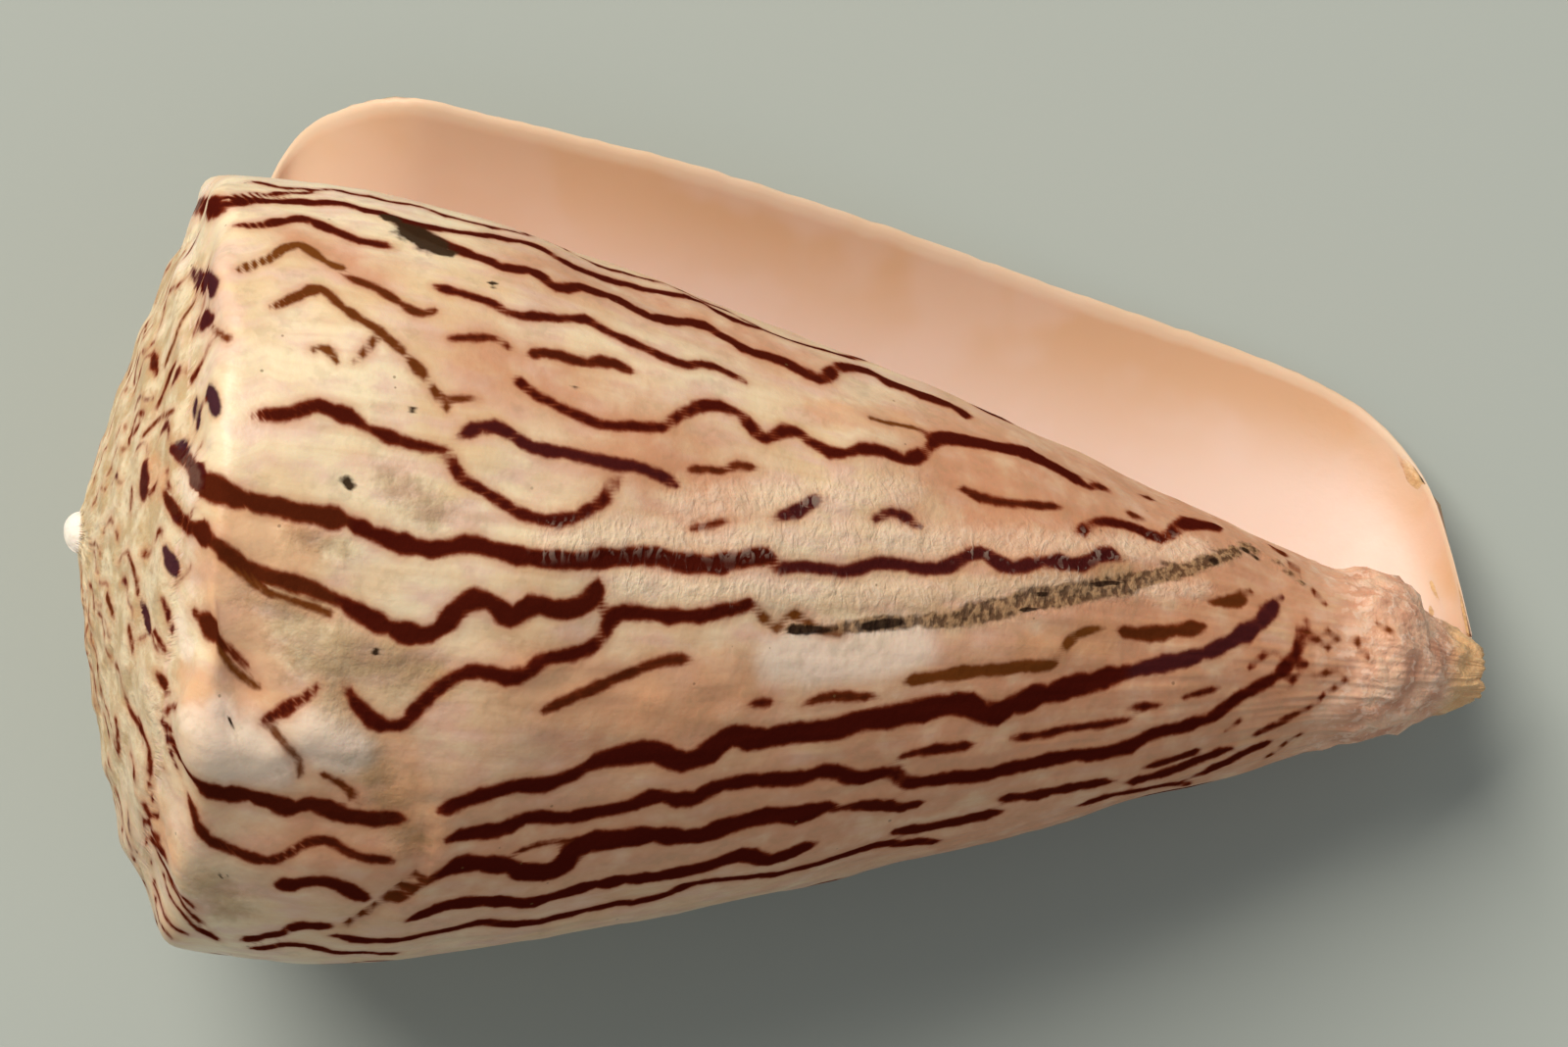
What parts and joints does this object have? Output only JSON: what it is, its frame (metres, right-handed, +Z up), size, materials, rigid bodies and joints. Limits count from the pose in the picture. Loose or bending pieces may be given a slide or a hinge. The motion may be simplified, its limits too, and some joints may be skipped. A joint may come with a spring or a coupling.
{
  "type": "cone shell",
  "caption": "Worn cone shell lying on its side, with a low knobbed spire, dark wavy lines and a wide lip open beside the body.",
  "frame": {"origin": "centre of the footprint, on the surface that the shell rests on", "axes": "+X from the spire to the narrow front end, +Y towards the lip, +Z up with the shell lying on its side"},
  "size_m": [0.0598, 0.0378, 0.0332],
  "materials": {
    "shell": "natural shell, polished by wear in places and chalky in others, cream to pink with dark brown lines"
  },
  "bodies": {
    "root": {"shell": "shell"}
  },
  "joints": []
}
